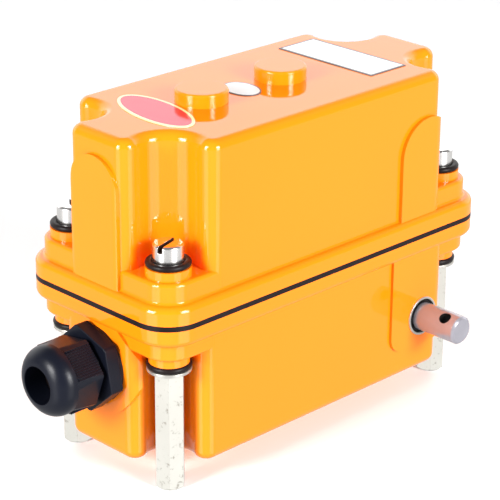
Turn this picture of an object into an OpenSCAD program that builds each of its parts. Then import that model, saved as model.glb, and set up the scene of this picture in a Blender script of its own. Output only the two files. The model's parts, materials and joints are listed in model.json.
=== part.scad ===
// Geared rotary limit switch in a cast box: a worm drive turns a shaft of cams
// that press microswitches. Origin at the centre of the four pillar feet, +Z up,
// X along the box with the cable gland on -X, and the drive shaft out of the -Y side.

/* [Housing plan] */
// Distance between the through screws along X
screw_span_x = 128; // [126:1:150]
// Distance between the through screws along Y
screw_span_y = 46; // [44:1:60]
// Radius of the flange corner round each screw
flange_r = 12.4; // [12:0.1:14]
// Inset of the walls from the flange edge
flange_step = 3; // [2.4:0.1:3.4]
// Thickness of the cast walls
wall = 3.5; // [2.5:0.1:3.8]
// Radius of the rounded wall ends beside each corner recess
lobe_r = 4.5; // [4.2:0.1:5.5]
// Radius of the cover's corner recess round each screw
cover_recess_r = 10.6; // [9.5:0.1:11]
// Radius of the base's corner recess round each pillar
base_recess_r = 8; // [7.8:0.1:8.6]
// Radius of the cover's top edge and the base's bottom edge
edge_r = 3.4; // [2:0.1:4]

/* [Housing heights] */
// Length of a hex pillar, from its foot to the washer on it
pillar_len = 41.5; // [38:0.5:60]
// Height of the base's underside above the feet
base_clearance = 8; // [3:0.5:12]
// Height of the flange joint above the pillar tops
flange_lift = 18.2; // [17:0.1:22]
// Thickness of the gasket
gasket_t = 1.8; // [1:0.1:4]
// Height of the cover above the gasket
cover_h = 55.5; // [52:0.1:70]
// Straight height of a flange band
flange_h = 3.7; // [3:0.1:5]
// Radius of a flange band's outer edge
ogee_r = 2.2; // [1:0.1:2.3]
// Height of the cover's corner pads above its flange face
cover_pad_h = 12.7; // [11:0.1:16]
// Depth of the base's corner lugs below its flange face
base_pad_h = 11.9; // [11:0.1:14]
// How far the corner pads and lugs stand in from the walls
tier_in = 0.15; // [0.1:0.05:0.5]
// Radius on the edges of the corner pads and lugs
pad_edge_r = 1.2; // [0.6:0.1:2]

/* [Cast details] */
// Diameter of the boss under each screw head
head_boss_d = 14.8; // [14.4:0.1:16]
// Height of the boss under each screw head
head_boss_h = 3; // [2:0.1:4]
// Diameter of the boss above each pillar
pillar_boss_d = 13.2; // [12:0.1:15]
// Diameter of the round bosses on top of the cover
top_boss_d = 17.6; // [12:0.1:20]
// Height of the round bosses on top of the cover
top_boss_h = 4.5; // [2:0.1:8]
// Radius of the edge of the round bosses
top_boss_edge = 0.8; // [0.4:0.1:1.5]
// Place of the first round boss along X
top_boss_x = -28; // [-40:0.5:-20]
// Distance from the first round boss to the second
top_boss_gap = 36; // [25:0.5:40]
// How far the arched panels stand out from the cover's walls
bulge_t = 1.3; // [0.8:0.1:1.6]
// Half width of the arched panel on the long walls
side_arch_r = 13; // [10:0.1:14]
// Height of the long walls' arch above the gasket
side_arch_h = 40.9; // [30:0.1:45]
// Half width of the arched panel on the short walls
end_arch_r = 10.8; // [9:0.1:12]
// Height of the short walls' arch above the gasket
end_arch_h = 48.5; // [35:0.1:49]
// How far the raised pads on the base stand out
pad_t = 1; // [0.6:0.1:1.4]
// Half width of the raised pad round the drive shaft
shaft_pad_r = 15.8; // [12:0.1:16]
// Depth of that pad below the shaft's axis
shaft_pad_drop = 10.5; // [8:0.1:14]
// Radius of that pad's lower corners
shaft_pad_corner = 6; // [3:0.1:7.5]
// Diameter of the raised pad round the cable gland
gland_pad_d = 35; // [30:0.5:36]

/* [Through screws] */
// Diameter of the screw head
head_d = 10; // [9.5:0.1:11]
// Height of the screw head
head_h = 7.6; // [6:0.1:12]
// Width of the screwdriver slot
slot_w = 1.6; // [1:0.1:2]
// Depth of the screwdriver slot
slot_depth = 2.2; // [1:0.1:3]
// Diameter of the screw's thread
screw_d = 6; // [5:0.5:6]
// Thickness of the O-rings under the heads and over the pillars
o_ring_t = 2; // [1.8:0.1:2.2]
// How much wider than thick the squeezed O-rings are
o_ring_flat = 0.3; // [0.2:0.05:0.4]
// Width of the pillars across flats
pillar_af = 9; // [9:0.1:10]
// Thickness of the washer on each pillar
washer_t = 1; // [0.8:0.1:2]
// Diameter of the washer on each pillar
washer_d = 14.5; // [13:0.1:15]
// Diameter of the threaded hole in each pillar foot
foot_hole_d = 5; // [4:0.5:6]
// Depth of the threaded hole in each pillar foot
foot_hole_depth = 12; // [8:0.5:16]

/* [Drive shaft] */
// Distance of the drive shaft from the screws along X
shaft_in = 17.6; // [17:0.1:18.5]
// Height of the drive shaft above the base's underside
shaft_lift = 21; // [19:0.1:24]
// Diameter of the drive shaft's free end
shaft_d = 10; // [9.8:0.1:10.6]
// Diameter of the drive shaft inside the box
inner_d = 9; // [8.6:0.1:9.2]
// Length of the drive shaft outside its raised pad
shaft_out = 18.2; // [12:0.1:40]
// Diameter of the cross hole near the shaft's end
cross_hole_d = 4.2; // [2:0.1:5]
// Distance of the cross hole from the shaft's end
cross_hole_in = 5.4; // [4:0.1:8]
// Turn of the cross hole from upright
cross_hole_turn = -34; // [-90:1:90]
// Diameter of the shaft's rear journal
journal_d = 8; // [6:0.1:8.5]
// Outside diameter of the front bush and the seal
front_bush_d = 14; // [13.4:0.1:14.4]
// Outside diameter of the rear bush
rear_bush_d = 12; // [11:0.1:13]
// Length of both shaft bushes
bush_len = 9; // [7:0.1:9.4]

/* [Gears] */
// Tooth size, as the gear module
gear_module = 1; // [0.9:0.02:1.04]
// Teeth on the worm wheel
wheel_teeth = 50; // [46:1:52]
// Pitch diameter of the worm
worm_pitch_d = 16; // [15:0.1:17]
// Turns of thread on the worm, an even number
worm_turns = 6; // [4:2:8]
// Length of the worm with its plain ends
worm_len = 30; // [28:0.5:32]
// Width of the worm wheel
wheel_w = 6; // [4:0.1:6.4]
// Room between the flanks of the teeth
backlash = 0.3; // [0.2:0.02:0.4]
// Diameter of the pins through the worm and the wheel's hub
pin_d = 3; // [2:0.1:3]

/* [Cams and switches] */
// Diameter of the camshaft
camshaft_d = 8; // [6:0.1:9]
// Distance from one cam to the next
cam_pitch = 17; // [16:0.5:17.5]
// Distance of the first cam from the screws along X
cam_in = 29; // [28:0.5:30]
// Radius of a cam's low part
cam_r = 14; // [12:0.1:14.2]
// Rise of a cam's lobe
cam_rise = 2; // [1:0.1:2.4]
// Width of a cam's rim
cam_w = 5; // [4:0.1:6]
// Room between a lever and the cam's low part
lever_gap = 0.5; // [0.4:0.05:1]
// Thickness of a switch
switch_w = 10; // [9.6:0.1:11]
// Height of a switch's case
switch_h = 15.9; // [14:0.1:17]
// Slope of a free switch lever
lever_slope = 8; // [7.5:0.1:9]
// Thickness of a switch lever
lever_t = 0.6; // [0.4:0.05:0.8]
// Diameter of the button on a switch lever
button_d = 3; // [2:0.1:3.4]
// Diameter of the rods that carry the switches
rod_d = 3; // [2.5:0.1:3.5]
// Distance between the rods that carry the switches
rod_span = 22.2; // [21:0.1:23]
// Thickness of the mechanism's steel frame
frame_t = 2; // [1.5:0.1:2.5]
// Height of the frame's floor above the base's underside
frame_lift = 28; // [26:0.5:30]

/* [Cable gland] */
// Depth of the gland's axis below the flange joint, clear of the flange
gland_drop = 20.5; // [19:0.1:24]
// Width of the gland body's hexagon across flats
gland_af = 25.6; // [25:0.1:27]
// Width of the dome nut's hexagon across flats
nut_af = 21.8; // [21.4:0.1:22.4]
// Diameter of the dome nut's round front
dome_d = 23.6; // [23.2:0.1:24]
// Diameter of the gland's thread in the wall
gland_thread_d = 20; // [18:0.1:20]
// Diameter of the gland's thread under the dome nut
nut_thread_d = 18.6; // [18.2:0.1:19]
// Bore through the gland's body
gland_bore_d = 13; // [10:0.1:14]
// Opening in the end of the dome nut
dome_hole_d = 12.8; // [11:0.1:13.5]
// Hole in the rubber seal, for the cable
seal_hole_d = 8.6; // [5:0.1:9.5]
// Thickness of the gland's hexagon
gland_hex_t = 5; // [4:0.1:7]
// Gap between the hexagon and the dome nut
nut_gap = 1.6; // [0.8:0.1:3]
// Length of the dome nut
nut_len = 17; // [15:0.1:20]
// Radius of the dome
dome_r = 6; // [4:0.1:6.5]

/* [Clearances] */
// Radial clearance of turning and sliding fits
run_fit = 0.05; // [0.02:0.01:0.1]
// Radial clearance round screws in plain holes
screw_gap = 0.3; // [0.2:0.05:0.5]

/* [Hidden] */
$fn = 64;

ORANGE = [1.0, 0.62, 0.08];
RUBBER = [0.08, 0.08, 0.09];
NYLON = [0.11, 0.11, 0.13];
STEEL = [0.78, 0.78, 0.76];
ZINC = [0.86, 0.86, 0.80];
BRONZE = [0.72, 0.52, 0.28];
CASE = [0.16, 0.16, 0.18];
CREAM = [0.90, 0.87, 0.78];

// Plan of the housing
sx = screw_span_x / 2;
sy = screw_span_y / 2;
wall_r = flange_r - flange_step;
lobe_in = wall_r - lobe_r;
tier_r = wall_r - tier_in;
wall_x = sx + wall_r;
wall_y = sy + wall_r;
big = 2 * screw_span_x;

// Heights of the housing
base_z = base_clearance;
joint_z = pillar_len + flange_lift;
cover_z = joint_z + gasket_t;
top_z = cover_z + cover_h;
base_h = joint_z - base_z;
floor_z = base_z + wall;
head_boss_z = cover_z + cover_pad_h + head_boss_h;
pillar_top_z = pillar_len;
spigot_z = pillar_len + washer_t;
lug_z = joint_z - base_pad_h;
pillar_boss_z = spigot_z + o_ring_t;
screw_hole_d = screw_d + 2 * screw_gap;
screw_in = 12;
spigot_d = head_d;

// Drive shaft
shaft_x = sx - shaft_in;
shaft_z = base_z + shaft_lift;
pad_y = wall_y + pad_t;
shaft_boss_d = front_bush_d + 6;
rear_boss_d = rear_bush_d + 6;
boss_len = bush_len + 1;
boss_y = wall_y - wall - boss_len;
rear_end_y = boss_y + bush_len;
seal_len = wall + pad_t;
seal_out = 0.5;
seal_case_t = 0.8;
circlip_t = 1;
clip_groove = 0.4;
clip_room = 0.4;
journal_y = boss_y - clip_room;

// Worm and wheel
pitch_r = gear_module * wheel_teeth / 2;
cam_z = shaft_z + worm_pitch_d / 2 + pitch_r;
lead = PI * gear_module;
worm_tip_r = worm_pitch_d / 2 + gear_module;
worm_root_r = worm_pitch_d / 2 - 1.35 * gear_module;
worm_hub_r = worm_root_r - 0.3 * gear_module;
wheel_root_r = pitch_r - 1.35 * gear_module;
lead_angle = atan(lead / (PI * worm_pitch_d));
pressure_angle = 20;
hub_wall = 5;
wheel_hub_d = camshaft_d + 2 * hub_wall;
wheel_hub_len = 6;

// Frame, cams and switches
cam_count = 4;
cam_hub_d = camshaft_d + 2 * hub_wall;
cam_hub_len = 5;
lobe_angles = [100, 153, 207, 260];
first_cam_x = -sx + cam_in;
last_cam_x = first_cam_x + (cam_count - 1) * cam_pitch;
plate_room = 12;
frame_x0 = first_cam_x - plate_room;
frame_x1 = last_cam_x + plate_room + 2;
frame_z = base_z + frame_lift;
frame_w = 44;
upright_w = 36;
lever_reach = 11;
lever_len = 19;
lever_w = 6;
lever_pin_d = 1.2;
lever_barrel_d = lever_pin_d + 1.4;
lever_room = 0.2;
lever_pin_z = cam_z + (cam_r + lever_gap + lever_t / 2 + lever_reach * sin(lever_slope))
  / cos(lever_slope);
switch_z = lever_pin_z + lever_barrel_d / 2 + lever_room;
button_reach = 6.5;
button_h = 4;
button_room = 0.7;
rivet_d = 1.4;
rod_z = switch_z + 11;
rod_edge = 2.8;
switch_l = rod_span + 2 * rod_edge;
camshaft_tail = 6;
upright_top_z = rod_z + 9;
terminal_h = 6;
post_d = 9;
post_x = [first_cam_x - 2, last_cam_x + 4];
post_y = 17;
frame_screw_d = 4;
frame_screw_in = 10;
camshaft_bush_d = camshaft_d + 3;
earth_post = [-10, -(sy + 1)];
earth_post_h = 6;

// Cable gland
gland_z = joint_z - gland_drop;
gland_face_x = -(wall_x + pad_t);
gland_washer_t = 1;
gland_hex_x = gland_face_x - gland_washer_t;
hex_end_x = gland_hex_x - gland_hex_t;
nut_x = hex_end_x - nut_gap;
nut_end_x = nut_x - nut_len;
dome_out_r = dome_d / 2;
thread_len = nut_gap + 8;
locknut_t = 3.5;
thread_lap = 1;
thread_past = 2;
locknut_af = gland_thread_d + 2.4;
seal_wall = 1.3;
seal_d = nut_thread_d - 2 * seal_wall;
seal_len_out = 10;
corner_round = 0.98;
body_turn = 12;
nut_turn = 40;

// One child at each through screw
module at_screws() {
  for (mx = [-1, 1], my = [-1, 1]) translate([mx * sx, my * sy]) children();
}

// One child in each quarter of the plan
module quarters() {
  for (mx = [0, 1], my = [0, 1]) mirror([mx, 0, 0]) mirror([0, my, 0]) children();
}

// A child drawn along +Z lies along +X, or along +Y
module along_x() { rotate([0, 90, 0]) children(); }
module along_y() { rotate([-90, 0, 0]) children(); }

module tube(d_out, d_in, h) {
  difference() {
    cylinder(d = d_out, h = h);
    translate([0, 0, -1]) cylinder(d = d_in, h = h + 2);
  }
}

module hexagon(af, h) {
  cylinder(d = af / cos(30), h = h, $fn = 6);
}

// Distance along a wall from a screw to the centre of the rounded wall end. It is rounded
// down to a tenth, so that the wall end runs a hair into the recess and is cut off by it.
function lobe_run(recess_r) =
  floor(10 * sqrt(pow(recess_r + lobe_r, 2) - pow(lobe_in, 2)) - 0.5) / 10;

// The box's plan: straight walls that curve round a recess at each corner
module scalloped_plan(recess_r, grow) {
  hx = sx - lobe_run(recess_r);
  hy = sy - lobe_run(recess_r);
  lx = wall_x - lobe_r;
  ly = wall_y - lobe_r;
  difference() {
    polygon([for (c = [[1, 1], [-1, 1], [-1, -1], [1, -1]])
      let (points = [[lx, hy], [sx, sy], [hx, ly]])
      for (k = [0:2]) let (p = points[c[0] * c[1] > 0 ? k : 2 - k])
        [c[0] * p[0], c[1] * p[1]]]);
    at_screws() circle(r = recess_r - grow);
  }
  square([2 * hx, 2 * (wall_y + grow)], center = true);
  square([2 * (wall_x + grow), 2 * hy], center = true);
  for (mx = [-1, 1], my = [-1, 1]) {
    translate([mx * hx, my * ly]) circle(r = lobe_r + grow);
    translate([mx * lx, my * hy]) circle(r = lobe_r + grow);
  }
}

// A quarter of a disc, above and to the right of its centre
module quarter_disc(r) {
  intersection() {
    circle(r = r);
    square(r);
  }
}

// Half section of an upright wall, w from the middle to its face, with a rounded top edge
module wall_section(w, h) {
  square([w, h - edge_r]);
  square([w - edge_r, h]);
  translate([w - edge_r, h - edge_r]) quarter_disc(edge_r);
}

// Full section of the same wall, both faces
module slab_section(w, h) {
  translate([-w, 0]) square([2 * w, h - edge_r]);
  translate([-w + edge_r, 0]) square([2 * (w - edge_r), h]);
  for (side = [-1, 1]) translate([side * (w - edge_r), h - edge_r]) circle(r = edge_r);
}

// Cutter of a screw recess: a round shaft that flares at the top to round the recess's edge
module recess_cutter(recess_r, h) {
  rotate_extrude() {
    square([recess_r, h + edge_r]);
    difference() {
      translate([0, h - edge_r]) square([recess_r + edge_r, 2 * edge_r]);
      translate([recess_r + edge_r, h - edge_r]) circle(r = edge_r);
    }
  }
}

// The scalloped box: two crossed slabs and round lobes, with a recess sunk at each screw
module rounded_box(recess_r, h) {
  hx = sx - lobe_run(recess_r);
  hy = sy - lobe_run(recess_r);
  lx = wall_x - lobe_r;
  ly = wall_y - lobe_r;
  difference() {
    union() {
      translate([-hx, 0, 0]) rotate([90, 0, 90]) linear_extrude(2 * hx) slab_section(wall_y, h);
      translate([0, hy, 0]) rotate([90, 0, 0]) linear_extrude(2 * hy) slab_section(wall_x, h);
      quarters() {
        translate([hx, ly, 0]) rotate_extrude() wall_section(lobe_r, h);
        translate([lx, hy, 0]) rotate_extrude() wall_section(lobe_r, h);
        linear_extrude(h) polygon([[0, 0], [lx, hy], [sx, sy], [hx, ly]]);
      }
    }
    at_screws() translate([0, 0, -1]) recess_cutter(recess_r, h + 1);
  }
}

// Half section of a flange, its curves in to the wall and the corner pad above it
module flange_section(pad_h) {
  shoulder_r = flange_r - ogee_r;
  cove_r = shoulder_r - tier_r;
  square([flange_r, flange_h]);
  square([shoulder_r, flange_h + ogee_r]);
  translate([shoulder_r, flange_h]) quarter_disc(ogee_r);
  difference() {
    square([shoulder_r, flange_h + ogee_r + cove_r]);
    translate([shoulder_r, flange_h + ogee_r + cove_r]) circle(r = cove_r);
  }
  square([tier_r, pad_h - pad_edge_r]);
  square([tier_r - pad_edge_r, pad_h]);
  translate([tier_r - pad_edge_r, pad_h - pad_edge_r]) quarter_disc(pad_edge_r);
}

// A section carried round the rectangle of the screws, with round corners
module swept_block(h) {
  translate([-sx, -sy, 0]) cube([2 * sx, 2 * sy, h]);
  for (m = [0, 1]) {
    mirror([0, m, 0]) translate([-sx, sy, 0]) rotate([90, 0, 90])
      linear_extrude(2 * sx) children();
    mirror([m, 0, 0]) translate([sx, sy, 0]) rotate([90, 0, 0])
      linear_extrude(2 * sy) children();
  }
  quarters() translate([sx, sy, 0]) rotate_extrude(angle = 90) children();
}

// Outside of one half of the box, its flange face on z = 0 and its closed end up
module box_half(recess_r, h, pad_h) {
  swept_block(pad_h) flange_section(pad_h);
  translate([0, 0, ogee_r]) rounded_box(recess_r, h - ogee_r);
}

// Inside of one half of the box
module box_room(recess_r, h) {
  translate([0, 0, -1]) linear_extrude(h + 1 - wall) scalloped_plan(recess_r, -wall);
}

// An upright panel with a round top, drawn in X and Z and carried along Y
module arch_prism(half_w, h, depth) {
  rotate([90, 0, 0]) linear_extrude(depth, center = true) {
    translate([0, h - half_w]) circle(r = half_w);
    translate([-half_w, 0]) square([2 * half_w, h - half_w]);
  }
}

// The arched panels on the four walls of the cover, over the gears and the wires
module cover_bulges() {
  intersection() {
    translate([0, 0, ogee_r]) linear_extrude(cover_h) scalloped_plan(cover_recess_r, bulge_t);
    union() {
      translate([shaft_x, 0, 0]) arch_prism(side_arch_r, side_arch_h, big);
      rotate(90) arch_prism(end_arch_r, end_arch_h, big);
    }
  }
}

module top_boss() {
  rotate_extrude() {
    square([top_boss_d / 2, top_boss_h - top_boss_edge]);
    square([top_boss_d / 2 - top_boss_edge, top_boss_h]);
    translate([top_boss_d / 2 - top_boss_edge, top_boss_h - top_boss_edge])
      quarter_disc(top_boss_edge);
  }
}

module cover() {
  color(ORANGE) translate([0, 0, cover_z]) difference() {
    union() {
      box_half(cover_recess_r, cover_h, cover_pad_h);
      cover_bulges();
      at_screws() cylinder(d = head_boss_d, h = cover_pad_h + head_boss_h);
      for (i = [0, 1])
        translate([top_boss_x + i * top_boss_gap, 0, cover_h]) top_boss();
    }
    box_room(cover_recess_r, cover_h);
    at_screws() translate([0, 0, -1]) cylinder(d = screw_hole_d, h = cover_h);
  }
}

module cover_gasket() {
  color(RUBBER) translate([0, 0, joint_z]) linear_extrude(gasket_t) difference() {
    union() {
      square([2 * sx, 2 * (sy + flange_r)], center = true);
      square([2 * (sx + flange_r), 2 * sy], center = true);
      at_screws() circle(r = flange_r);
    }
    scalloped_plan(base_recess_r, -wall);
    at_screws() circle(d = screw_hole_d);
  }
}

// Outline of the pad round the drive shaft: straight up to the flange, round below
module shaft_pad_outline() {
  corner_x = shaft_pad_r - shaft_pad_corner;
  corner_z = shaft_pad_corner - shaft_pad_drop;
  translate([-shaft_pad_r, corner_z]) square([2 * shaft_pad_r, big]);
  translate([-corner_x, -shaft_pad_drop]) square([2 * corner_x, shaft_pad_drop]);
  for (m = [-1, 1]) translate([m * corner_x, corner_z]) circle(r = shaft_pad_corner);
}

// Raised pads on the base: one round the drive shaft and a disc round the gland
module base_pads() {
  intersection() {
    translate([0, 0, base_z + edge_r]) linear_extrude(base_h - edge_r - ogee_r)
      scalloped_plan(base_recess_r, pad_t);
    union() {
      translate([shaft_x, -wall_y, shaft_z]) rotate([90, 0, 0])
        linear_extrude(2 * wall, center = true) shaft_pad_outline();
      translate([-wall_x - wall, 0, gland_z]) along_x()
        cylinder(d = gland_pad_d, h = 2 * wall);
    }
  }
}

module base_housing() {
  color(ORANGE) difference() {
    union() {
      difference() {
        union() {
          translate([0, 0, joint_z]) mirror([0, 0, 1])
            box_half(base_recess_r, base_h, base_pad_h);
          base_pads();
        }
        translate([0, 0, joint_z]) mirror([0, 0, 1]) box_room(base_recess_r, base_h);
      }
      at_screws() translate([0, 0, pillar_boss_z])
        cylinder(d = pillar_boss_d, h = joint_z - pillar_boss_z);
      at_screws() translate([0, 0, spigot_z])
        cylinder(d = spigot_d, h = joint_z - spigot_z);
      for (x = post_x, y = [-post_y, post_y]) translate([x, y, base_z + edge_r])
        cylinder(d = post_d, h = frame_z - base_z - edge_r);
      translate([earth_post[0], earth_post[1], base_z + edge_r])
        cylinder(d = post_d, h = wall - edge_r + earth_post_h);
      translate([shaft_x, -wall_y + wall / 2, shaft_z]) along_y()
        cylinder(d = shaft_boss_d, h = boss_len + wall / 2);
      translate([shaft_x, boss_y, shaft_z]) along_y()
        cylinder(d = rear_boss_d, h = boss_len + wall / 2);
    }
    at_screws() translate([0, 0, base_z]) cylinder(d = screw_hole_d, h = base_h + 1);
    for (x = post_x, y = [-post_y, post_y]) translate([x, y, frame_z - frame_screw_in])
      cylinder(d = frame_screw_d, h = frame_screw_in + 1);
    translate([earth_post[0], earth_post[1], floor_z])
      cylinder(d = frame_screw_d, h = earth_post_h + 1);
    translate([shaft_x, -pad_y - 1, shaft_z]) along_y()
      cylinder(d = front_bush_d, h = pad_t + wall + boss_len + 2);
    translate([shaft_x, boss_y - 1, shaft_z]) along_y()
      cylinder(d = rear_bush_d, h = boss_len + 1);
    translate([-wall_x - 2 * pad_t, 0, gland_z]) along_x()
      cylinder(d = gland_thread_d + 2 * screw_gap, h = wall + 3 * pad_t);
  }
}

// A plain round head with a chamfered rim and a screwdriver slot, on a long shank
module through_screw() {
  chamfer = 0.6;
  difference() {
    rotate_extrude() polygon([[0, 0], [head_d / 2, 0], [head_d / 2, head_h - chamfer],
      [head_d / 2 - chamfer, head_h], [0, head_h]]);
    translate([-head_d, -slot_w / 2, head_h - slot_depth])
      cube([2 * head_d, slot_w, slot_depth + 1]);
  }
  shank = head_boss_z - pillar_top_z + screw_in;
  translate([0, 0, -shank]) cylinder(d = screw_d - 2 * run_fit, h = shank);
}

slot_turns = [16, 25, 70, -20];
module cover_screws() {
  color(STEEL) for (i = [0:3])
    translate([(i % 2 == 0 ? -1 : 1) * sx, (i < 2 ? -1 : 1) * sy, head_boss_z])
      rotate(slot_turns[i]) through_screw();
}

// A round ring squeezed a little flat
module o_ring(d_in) {
  rotate_extrude() translate([(d_in + o_ring_t) / 2, 0]) {
    square([o_ring_flat, o_ring_t]);
    for (out = [0, o_ring_flat]) translate([out, o_ring_t / 2]) circle(d = o_ring_t);
  }
}

module screw_o_rings() {
  color(RUBBER) at_screws() translate([0, 0, head_boss_z]) o_ring(head_d + 2 * run_fit);
}

module pillar_o_rings() {
  color(RUBBER) at_screws() translate([0, 0, spigot_z]) o_ring(spigot_d + 2 * run_fit);
}

module pillar_washers() {
  color(ZINC) at_screws() translate([0, 0, pillar_top_z])
    tube(washer_d, screw_hole_d, washer_t);
}

// Hexagonal pillar with turned ends, threaded at the top and at the foot
module hex_pillar() {
  end_r = pillar_af / 2 - 0.2;
  clear_r = pillar_af;
  chamfer = clear_r - end_r;
  difference() {
    intersection() {
      rotate(45) hexagon(pillar_af, pillar_len);
      rotate_extrude() polygon([[0, 0], [end_r, 0], [clear_r, chamfer],
        [clear_r, pillar_len - chamfer], [end_r, pillar_len], [0, pillar_len]]);
    }
    translate([0, 0, -1]) cylinder(d = foot_hole_d, h = foot_hole_depth + 1);
    translate([0, 0, pillar_len - screw_in - 1]) cylinder(d = screw_d, h = screw_in + 2);
  }
}

module hex_pillars() {
  color(ZINC) at_screws() hex_pillar();
}

// Hexagon with its corners turned off to a cone that ends at a given radius
module gland_hex(af, turn, h, end_r) {
  intersection() {
    rotate(turn) hexagon(af, h);
    cylinder(r1 = corner_r(af), r2 = end_r, h = h);
  }
}

function corner_r(af) = corner_round * af / 2 / cos(30);

module at_gland(x) {
  translate([x, 0, gland_z]) children();
}

module gland_body() {
  color(NYLON) difference() {
    union() {
      at_gland(gland_hex_x) rotate([0, -90, 0])
        gland_hex(gland_af, body_turn, gland_hex_t, corner_r(gland_af));
      at_gland(hex_end_x - thread_len) along_x()
        cylinder(d = nut_thread_d, h = thread_len + thread_lap);
      at_gland(gland_hex_x - thread_lap) along_x()
        cylinder(d = gland_thread_d, h = thread_lap + gland_washer_t + pad_t + wall
          + locknut_t + thread_past);
    }
    at_gland(nut_end_x) along_x() cylinder(d = gland_bore_d, h = sx);
    at_gland(hex_end_x - thread_len - 1) along_x()
      cylinder(d = seal_d + 2 * run_fit, h = thread_len + 1);
  }
}

module gland_washer() {
  color(RUBBER) at_gland(gland_hex_x) along_x()
    tube(gland_af, gland_thread_d + 2 * run_fit, gland_washer_t);
}

module gland_locknut() {
  color(NYLON) at_gland(-wall_x + wall) along_x() difference() {
    hexagon(locknut_af, locknut_t);
    translate([0, 0, -1]) cylinder(d = gland_thread_d + 2 * run_fit, h = locknut_t + 2);
  }
}

seal_back_x = hex_end_x - 0.4;
module gland_seal() {
  color(RUBBER) at_gland(seal_back_x - seal_len_out) along_x()
    tube(seal_d, seal_hole_d, seal_len_out);
}

// Half section of the dome, which stands proud of the nut's flats
module dome_outline(from) {
  round_z = nut_len - dome_r;
  translate([0, from]) square([dome_out_r, round_z - from]);
  translate([0, from]) square([dome_out_r - dome_r, nut_len - from]);
  translate([dome_out_r - dome_r, round_z]) quarter_disc(dome_r);
}

module gland_dome_nut() {
  rim = 1;
  hex_len = nut_len - dome_r - rim;
  thread_room = thread_len - nut_gap + 1;
  cup_r = seal_d / 2 + 0.4;
  color(NYLON) at_gland(nut_x) rotate([0, -90, 0]) difference() {
    union() {
      rotate_extrude() dome_outline(hex_len);
      gland_hex(nut_af, nut_turn, hex_len + rim / 2, dome_out_r - rim / 4);
    }
    translate([0, 0, -1]) cylinder(r = nut_thread_d / 2 + run_fit, h = thread_room + 1);
    translate([0, 0, -1]) cylinder(r = cup_r, h = nut_x - seal_back_x + seal_len_out + 1.4);
    translate([0, 0, -1]) cylinder(d = dome_hole_d, h = nut_len + 2);
  }
}

module at_shaft(y) {
  translate([shaft_x, y, shaft_z]) along_y() children();
}

// Stepped shaft with a chamfered free end, a shoulder at the seal, a clip groove and a journal
module input_shaft() {
  out_y = -pad_y - shaft_out;
  chamfer = 0.8;
  r = shaft_d / 2;
  inner_r = inner_d / 2;
  groove_r = inner_r - clip_groove;
  free_len = -pad_y - seal_out - out_y;
  clip_from = -boss_y + clip_room - out_y;
  clip_to = clip_from + circlip_t;
  front_len = journal_y - out_y;
  full_len = rear_end_y - out_y;
  color(STEEL) difference() {
    at_shaft(out_y) rotate_extrude() polygon([[0, 0], [r - chamfer, 0], [r, chamfer],
      [r, free_len], [inner_r, free_len], [inner_r, clip_from], [groove_r, clip_from],
      [groove_r, clip_to], [inner_r, clip_to], [inner_r, front_len],
      [journal_d / 2, front_len], [journal_d / 2, full_len], [0, full_len]]);
    translate([shaft_x, out_y + cross_hole_in, shaft_z]) rotate([0, cross_hole_turn, 0])
      cylinder(d = cross_hole_d, h = 2 * shaft_d, center = true);
    translate([shaft_x, worm_len / 2 - pin_d, shaft_z])
      cylinder(d = pin_d, h = 2 * shaft_d, center = true);
  }
}

module seal_case() {
  color(STEEL) at_shaft(-pad_y - seal_out)
    tube(front_bush_d, front_bush_d - 2 * seal_case_t, seal_len + seal_out);
}

module seal_lip() {
  color(RUBBER) at_shaft(-pad_y + seal_out)
    tube(front_bush_d - 2 * seal_case_t, inner_d + 2 * run_fit, seal_len - seal_out);
}

module front_bush() {
  color(BRONZE) at_shaft(-pad_y + seal_len)
    tube(front_bush_d, inner_d + 2 * run_fit, bush_len);
}

module rear_bush() {
  color(BRONZE) at_shaft(boss_y) tube(rear_bush_d, journal_d + 2 * run_fit, bush_len);
}

module shaft_circlip() {
  color(STEEL) at_shaft(-boss_y + clip_room) difference() {
    tube(inner_d + 4, inner_d - 2 * clip_groove, circlip_t);
    translate([0, -1.5, -1]) cube([inner_d, 3, circlip_t + 2]);
  }
}

// Radius of the worm's thread at a turn from its root, for one start
function thread_r(a) =
  let (tooth = lead / 2 - backlash,
       flank = 2 * gear_module * tan(pressure_angle),
       s = abs((a > 180 ? 360 - a : a) / 360 * lead - lead / 2),
       low = tooth / 2 + flank / 2 + 0.35 * gear_module * tan(pressure_angle),
       high = tooth / 2 - flank / 2)
  s <= high ? worm_tip_r : s >= low ? worm_root_r
    : worm_tip_r - (s - high) / (low - high) * (worm_tip_r - worm_root_r);

module worm() {
  points = 20;
  turn_slices = 12;
  thread_len = worm_turns * lead;
  color(STEEL) difference() {
    union() {
      for (m = [0, 1]) mirror([0, m, 0]) at_shaft(thread_len / 2 - lead)
        cylinder(r = worm_hub_r, h = worm_len / 2 - thread_len / 2 + lead);
      at_shaft(-thread_len / 2)
        linear_extrude(thread_len, twist = -360 * worm_turns,
            slices = turn_slices * worm_turns, $fn = points)
          polygon([for (i = [0:points - 1]) let (a = i * 360 / points)
            thread_r(a) * [cos(a - 90), sin(a - 90)]]);
    }
    at_shaft(-worm_len) cylinder(d = inner_d + 2 * run_fit, h = 2 * worm_len);
    translate([shaft_x, worm_len / 2 - pin_d, shaft_z])
      cylinder(d = pin_d, h = 4 * worm_tip_r, center = true);
  }
}

module worm_pin() {
  color(ZINC) translate([shaft_x, worm_len / 2 - pin_d, shaft_z])
    cylinder(d = pin_d - 2 * run_fit, h = 2 * worm_hub_r - 0.6, center = true);
}

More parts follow.
